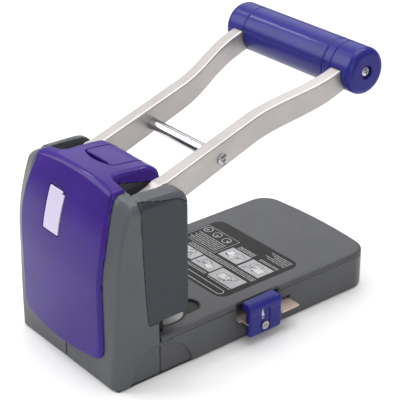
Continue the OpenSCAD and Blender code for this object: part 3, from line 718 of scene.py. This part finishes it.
shaped_pair(("lever_left", "lever_right"), arm_field, (33, -112, 108), (65, 118, 208), 0.9,
            "handle", arm_metal, ("arm_left", "arm_right"))
shaped("sleeve_upper", half_grip(1), (-52, -122, 172), (52, -80, 215), 0.7, "handle", blue, ["grip_upper"])
shaped("sleeve_lower", half_grip(-1), (-52, -122, 172), (52, -80, 215), 0.7, "handle", blue, ["grip_lower"])
shaped_pair(("cap_left", "cap_right"), cap_field, (48, -122, 173), (74, -80, 215), 0.6,
            "handle", blue, ("end_cap_left", "end_cap_right"))
screw_pair("grip_end_screws", "cap_screws", GRIP_END - 3.2, GRIP, 4.0, 2.6, 2.0, 14, chrome, "handle")
screw_pair("rod_end_screws", "cross_rod_screws", 47.5, ROD, 4.5, 2.4, 1.6, 10, chrome, "handle")


def rod_field(x, y, z):
    r = length(y - ROD[0], z - ROD[1])
    d = both(r - 4.8, abs(x) - 36, 0.4)
    d = np.minimum(d, both(r - 2.95, abs(x) - 45))
    return less(d, np.maximum(r - 1.6, 34 - abs(x)))


shaped("chrome_rod", rod_field, (-47, 13, 142), (47, 26, 155), 0.6, "handle", chrome, ["cross_rod"])

# ---- return springs: coils round the punch pins ----

SPRING_R = 4.2
WIRE_R = 0.55
TURNS = 7


def coil(x0, y0, z0, z1, per_turn=24, sides=8):
    """Vertices and quads of a coil round an upright line."""
    verts, quads = [], []
    count = TURNS * per_turn + 1
    for i in range(count):
        a = 2 * math.pi * i / per_turn
        out = np.array([math.cos(a), math.sin(a), 0])
        centre = np.array([x0, y0, z0 + WIRE_R + (z1 - z0 - 2 * WIRE_R) * i / (count - 1)]) + SPRING_R * out
        for k in range(sides):
            b = 2 * math.pi * k / sides
            verts.append(centre + WIRE_R * (math.cos(b) * out + math.sin(b) * np.array([0, 0, 1])))
    for i in range(count - 1):
        for k in range(sides):
            one, two = i * sides + k, i * sides + (k + 1) % sides
            quads.append([one, one + sides, two + sides, two])
    return np.array(verts), np.array(quads)


spring_low, spring_high = node_box("return_springs")
spring_verts, spring_quads = coil(PITCH / 2, PIN_Y, spring_low[2], spring_high[2])
left_verts, left_quads = spring_verts - (PITCH, 0, 0), spring_quads + len(spring_verts)
springs = add_mesh("spring_coils", np.concatenate([spring_verts, left_verts]),
                   np.concatenate([spring_quads, left_quads]), "frame", steel, ["return_springs"])
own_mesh(springs)

# ---- paper guide ----


slider_low, slider_high = node_box("guide_slider")
screw_low, screw_high = node_box("guide_screw")
SLIDER_FACE = slider_low[0]
RECESS_DEPTH = 1.6


def slider_field(x, y, z):
    """Upstand with a flange over the base and an upright recess in its outer face."""
    low, high = slider_low, slider_high
    flange = both(slab(x, low[0], high[0]), 27.0 - z, 0.6)
    leg = both(slab(x, low[0], -69.5), low[2] - z, 2.6)
    side = both(either(flange, leg, 2.0), slab(y, low[1], high[1]), 2.6)
    outer = both(low[0] - x, z - high[2], 5.0)
    d = both(side, outer, 2.0)
    groove = either(length(y + 0.85, z - 24.5) - 5.05, both(slab(y, -5.9, 4.2), slab(z, 8, 24.5), 1.0))
    d = less(d, both(groove, x - SLIDER_FACE - RECESS_DEPTH, 0.3), 0.9)
    d = less(d, np.maximum(slab(x, -73.9, -60), slab(z, 16.95, 18.55)))
    return less(d, length(y - SCREW_AT[0], z - SCREW_AT[1]) - 1.9)


shaped("guide_upstand", slider_field, (-78, -20, 5), (-62, 17, 36), 0.5,
       "paper_guide", blue, ["guide_slider"])


def side_prism(name, outlines, x0, x1, body, material):
    """Flat shapes in Y and Z, standing from x0 to x1."""
    verts, quads = [], []
    for points in outlines:
        first, count = len(verts), len(points)
        verts += [(x0, p[0], p[1]) for p in points] + [(x1, p[0], p[1]) for p in points]
        quads += [[first + i, first + (i + 1) % count, first + count + (i + 1) % count, first + count + i]
                  for i in range(count)]
        quads += [list(range(first, first + count))[::-1], list(range(first + count, first + 2 * count))]
    mesh = bpy.data.meshes.new(name)
    mesh.from_pydata([tuple(c * MM for c in v) for v in verts], [], quads)
    mesh.materials.append(material)
    piece = bpy.data.objects.new(name, mesh)
    bpy.context.scene.collection.objects.link(piece)
    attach(piece, body)


mark_x = SLIDER_FACE + RECESS_DEPTH
pointer = [(-0.9, 21.4), (1.9, 21.4), (1.9, 24.6), (0.9, 28.2)]
side_prism("guide_pointer", [pointer, [(-0.5, 19.3), (1.7, 19.3), (1.7, 20.1), (-0.5, 20.1)]],
           mark_x - 0.12, mark_x + 0.1, "paper_guide", plate_pale)

# ---- label ----


def flat_prism(name, outlines, z0, z1, material, replaces=()):
    """Flat shapes standing from z0 to z1, from closed outlines in X and Y."""
    mesh = bmesh.new()
    for points in outlines:
        bottom = [mesh.verts.new((p[0] * MM, p[1] * MM, z0 * MM)) for p in points]
        top = [mesh.verts.new((p[0] * MM, p[1] * MM, z1 * MM)) for p in points]
        mesh.faces.new(top)
        mesh.faces.new(bottom[::-1])
        for i in range(len(points)):
            j = (i + 1) % len(points)
            mesh.faces.new((bottom[i], bottom[j], top[j], top[i]))
    data = bpy.data.meshes.new(name)
    mesh.to_mesh(data)
    mesh.free()
    data.materials.append(material)
    piece = bpy.data.objects.new(name, data)
    bpy.context.scene.collection.objects.link(piece)
    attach(piece, "frame")
    if replaces:
        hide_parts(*replaces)
    return piece


def rectangle(x0, y0, x1, y1, r=0.4):
    return outline([(x0, y0), (x1, y0), (x1, y1), (x0, y1)], [r] * 4, 3)


def ring(x, y, r, steps=28):
    return [(x + r * math.cos(2 * math.pi * i / steps), y + r * math.sin(2 * math.pi * i / steps))
            for i in range(steps)]


def turned(points, x, y, angle, size):
    """Points of a unit drawing, turned, scaled and moved."""
    c, s = math.cos(angle) * size, math.sin(angle) * size
    return [(x + c * u - s * v, y + s * u + c * v) for u, v in points]


LABEL = (-49.4, -61.6, 50.4, 21.4)
PANELS = [(-16.6, -38.5, 6.4, -22.2), (-43.7, -38.3, -19.0, -21.0), (12.9, -12.4, 37.2, 0.6),
          (-12.2, -11.6, 11.2, 2.2), (-43.2, -10.6, -13.9, 5.6)]
ICONS = [(43.0, -42.6), (30.9, -42.2), (18.6, -41.6)]
INK = BASE_TOP + 0.1

# Generic line drawings: a sheet, a lever on a box and an arrow; rows of short dashes stand for print
SHEET = [(-1, -0.5), (0.8, -0.75), (1, 0.35), (-0.8, 0.6)]
ARROW = [(-0.1, -0.15), (0.35, -0.15), (0.35, -0.4), (0.8, 0.02), (0.35, 0.4), (0.35, 0.15), (-0.1, 0.15)]
BOX = [(-0.9, -0.5), (-0.1, -0.75), (0.6, -0.4), (0.6, 0.05), (-0.2, 0.3), (-0.9, -0.05)]
LEVER = [(-0.5, 0.15), (0.3, 0.6), (1.0, 0.95), (1.1, 0.8), (0.4, 0.4), (-0.4, -0.05)]


def lines(points, width):
    """The sides of a polygon as thin bars."""
    out = []
    for (x0, y0), (x1, y1) in zip(points, points[1:] + points[:1]):
        k = width / 2 / math.hypot(x1 - x0, y1 - y0)
        u, v = (x1 - x0) * k, (y1 - y0) * k
        out.append([(x0 + v, y0 - u), (x1 + v, y1 - u), (x1 - v, y1 + u), (x0 - v, y0 + u)])
    return out


sheets, strokes = [], []
for i, (x0, y0, x1, y1) in enumerate(PANELS):
    cx, cy = (x0 + x1) / 2, (y0 + y1) / 2
    tilt = 0.3 * (i % 3) - 0.3
    size = 0.42 * (y1 - y0)
    sheet = turned(SHEET, cx + 3 - i % 2 * 6, cy + 1, tilt, size * 0.9)
    sheets.append(sheet)
    strokes += lines(sheet, 0.3)
    strokes += lines(turned(BOX, cx - 2 + i % 2 * 5, cy - 1, tilt + 0.2, size), 0.35)
    strokes += lines(turned(LEVER, cx - 2 + i % 2 * 5, cy - 0.5, tilt + 0.1, size), 0.3)
    strokes.append(turned(ARROW, cx + 6 - i % 3 * 6, cy + 0.2 * (y1 - y0), tilt + 2.2 * i, size * 0.4))


def dashes(x0, x1, y, seed, height=0.75):
    """One row of short dashes of uneven length."""
    out = []
    x = x0
    k = seed
    while x < x1 - 1:
        step = min(2.2 + 1.7 * ((k * 7) % 5) / 2, x1 - x)
        out.append(rectangle(x, y, x + step - 0.6, y + height, 0.0))
        x += step
        k += 1
    return out


rows = []
for k, (x0, x1, y) in enumerate(
        [(-15.6, 4.2, -44.4 + 1.7 * j) for j in range(3)] + [(-44.2, -22.0, -43.2 + 1.7 * j) for j in range(2)]
        + [(-44.8, -20 - 3.5 * (j % 3), -57.4 + 2.2 * j) for j in range(5)]
        + [(-44.8, 36, -18.6 + 1.9 * j) for j in range(3)]
        + [(11.5, 46.5 - 2.5 * (j % 2), -35.4 + 2.3 * j) for j in range(6)]
        + [(-11.8, 36, 4.4 + 1.8 * j) for j in range(2)]
        + [(-43.2, -16, 7.0 + 1.5 * j) for j in range(1)]):
    rows += dashes(x0, x1, y, k)


def frame_bars(x0, y0, x1, y1, w=0.4):
    return [rectangle(x0, y0, x1, y0 + w, 0), rectangle(x0, y1 - w, x1, y1, 0),
            rectangle(x0, y0, x0 + w, y1, 0), rectangle(x1 - w, y0, x1, y1, 0)]


rows += frame_bars(9.2, -48.2, 49.2, -20.6)
BLANK = (-44.0, 11.8, 6.0, 18.6)

flat_prism("label", [rectangle(*LABEL, 8.0)], BASE_TOP - 0.2, INK, film, replaces=["instruction_label"])
flat_prism("label_panels", [rectangle(*p, 0.0) for p in PANELS], INK - 0.05, INK + 0.03, print_pale)
flat_prism("label_sheets", sheets, INK, INK + 0.05, print_white)
flat_prism("label_strokes", strokes, INK, INK + 0.07, film)
flat_prism("label_rows", rows, INK - 0.05, INK + 0.03, print_grey)
flat_prism("label_rings", [ring(*p, 4.2) for p in ICONS] + [rectangle(*BLANK, 3.0)], INK - 0.05, INK + 0.03, print_pale)
inner = tuple(v + d for v, d in zip(BLANK, (0.7, 0.7, -0.7, -0.7)))
flat_prism("label_ring_fields", [ring(*p, 3.5) for p in ICONS] + [rectangle(*inner, 2.3)], INK, INK + 0.05, film)
flat_prism("label_icons", [turned(ARROW, x - 0.8, y, 1.1 * i + 0.5, 3.6) for i, (x, y) in enumerate(ICONS)],
           INK + 0.02, INK + 0.07, print_pale)

# ---- camera, light and floor ----


def aim(azimuth, elevation, roll):
    """Camera rotation for a view from that azimuth and elevation, in degrees."""
    a, e, r = (math.radians(v) for v in (azimuth, elevation, roll))
    back = Vector((math.sin(a) * math.cos(e), -math.cos(a) * math.cos(e), math.sin(e)))
    right = (-back).cross(Vector((0, 0, 1))).normalized()
    up = right.cross(-back)
    turn = Matrix.Rotation(r, 3, back)
    return back, Matrix((turn @ right, turn @ up, back)).transposed()


back, turn = aim(230.95, 26.88, 0.0)
camera_data = bpy.data.cameras.new("camera")
camera_data.lens = 121.2
camera_data.sensor_width = 36.0
camera = bpy.data.objects.new("camera", camera_data)
camera.matrix_world = Matrix.Translation(Vector((-0.0791, 0.06586, 0.14306)) + back * 0.9322) @ turn.to_4x4()
bpy.context.scene.collection.objects.link(camera)
bpy.context.scene.camera = camera


def area_light(name, azimuth, elevation, distance, size, power, aspect=1.0):
    light = bpy.data.lights.new(name, "AREA")
    light.shape = "RECTANGLE"
    light.size = size
    light.size_y = size * aspect
    light.energy = power
    lamp = bpy.data.objects.new(name, light)
    away, rotation = aim(azimuth, elevation, 0)
    lamp.matrix_world = Matrix.Translation(Vector((0, 0, 0.08)) + away * distance) @ rotation.to_4x4()
    bpy.context.scene.collection.objects.link(lamp)


area_light("key", 135, 36, 0.95, 0.6, 5.0)
area_light("near", 244, 24, 0.65, 0.35, 0.9)
area_light("top", 30, 80, 1.6, 1.2, 18)
area_light("rear", 50, 33, 1.5, 0.8, 2.2)
area_light("glint", 0, 55, 1.5, 0.16, 1.8)
area_light("glint_back", 98, 48, 1.5, 0.14, 1.6)
bpy.context.scene.view_settings.view_transform = "Standard"
world = bpy.data.worlds.new("studio")
world.use_nodes = True
world.node_tree.nodes["Background"].inputs["Color"].default_value = (1, 1, 1, 1)
# A studio that is dark round the horizon and bright overhead
tree = world.node_tree
around = tree.nodes.new("ShaderNodeTexCoord").outputs["Generated"]
split = tree.nodes.new("ShaderNodeSeparateXYZ")
tree.links.new(around, split.inputs[0])
height = tree.nodes.new("ShaderNodeMapRange")
for key, value in (("From Min", 0.02), ("From Max", 0.55), ("To Min", 0.26), ("To Max", 0.55)):
    height.inputs[key].default_value = value
tree.links.new(split.outputs[2], height.inputs["Value"])
tree.links.new(height.outputs[0], tree.nodes["Background"].inputs["Strength"])
bpy.context.scene.world = world

floor_nodes = Nodes("floor")
floor_material = floor_nodes.set(color=floor_nodes.blend(floor_nodes.noise(3), (0.9, 0.9, 0.9, 1), (0.92, 0.92, 0.92, 1)),
                                 rough=0.7)
floor_mesh = bpy.data.meshes.new("floor")
floor_mesh.from_pydata([(-6, -6, 0), (6, -6, 0), (6, 6, 0), (-6, 6, 0)], [], [(0, 1, 2, 3)])
floor_mesh.materials.append(floor_material)
floor = bpy.data.objects.new("floor", floor_mesh)
bpy.context.scene.collection.objects.link(floor)
